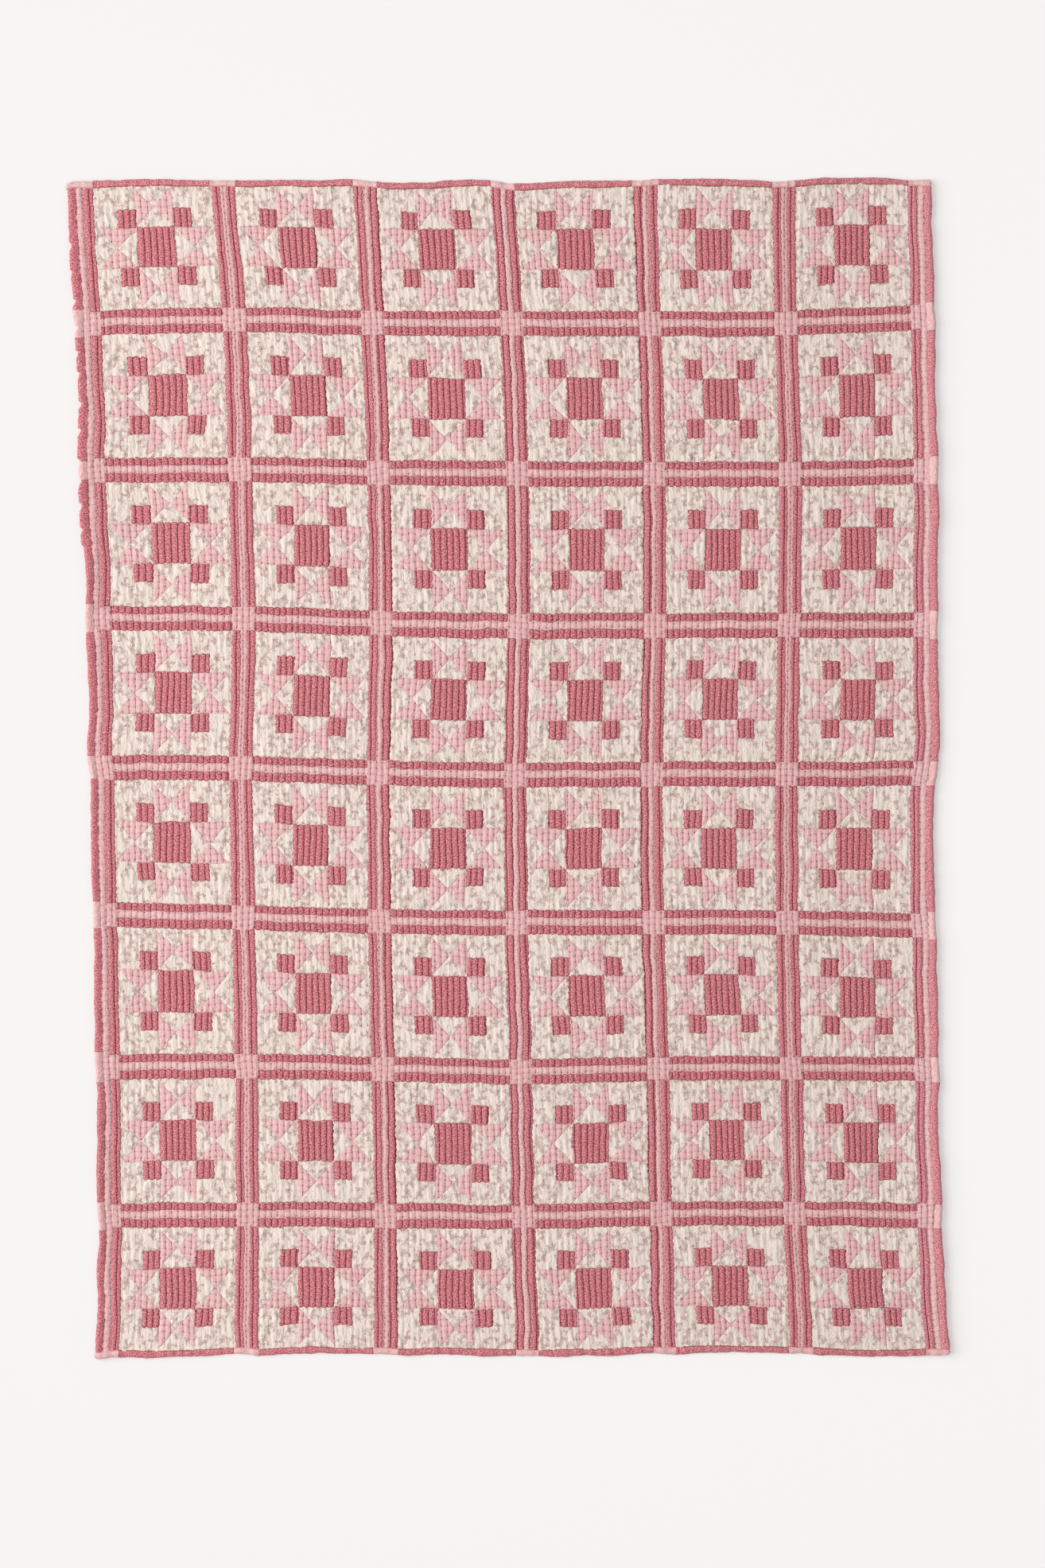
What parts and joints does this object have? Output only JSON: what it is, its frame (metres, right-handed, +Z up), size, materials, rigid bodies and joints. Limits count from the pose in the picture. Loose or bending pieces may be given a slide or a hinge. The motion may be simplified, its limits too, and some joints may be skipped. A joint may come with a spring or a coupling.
{
  "type": "patchwork quilt throw",
  "caption": "Rectangular pieced and hand-quilted cotton throw with three-strip sashing and a bound edge, laid out flat face up.",
  "frame": {"origin": "on the surface that the throw lies on, under the middle of its outline", "axes": "+X across the throw to its right side, +Y along it to its top edge, +Z up out of its pieced face"},
  "size_m": [1.3511, 1.8024, 0.0139],
  "materials": {
    "cream_print": "washed cream cotton with a small sprig print, matt and softly puckered",
    "pink_cotton": "washed plain light pink cotton, matt",
    "rose_chambray": "rose cotton chambray with a pale cross thread, matt and flecked",
    "quilting_thread": "dark rose cotton quilting thread in running stitch",
    "backing_cotton": "plain light pink cotton backing, matt"
  },
  "bodies": {
    "root": {"quilt_panel": "cream_print", "binding_top": "rose_chambray", "binding_bottom": "rose_chambray", "binding_left": "rose_chambray", "binding_right": "rose_chambray"}
  },
  "joints": []
}
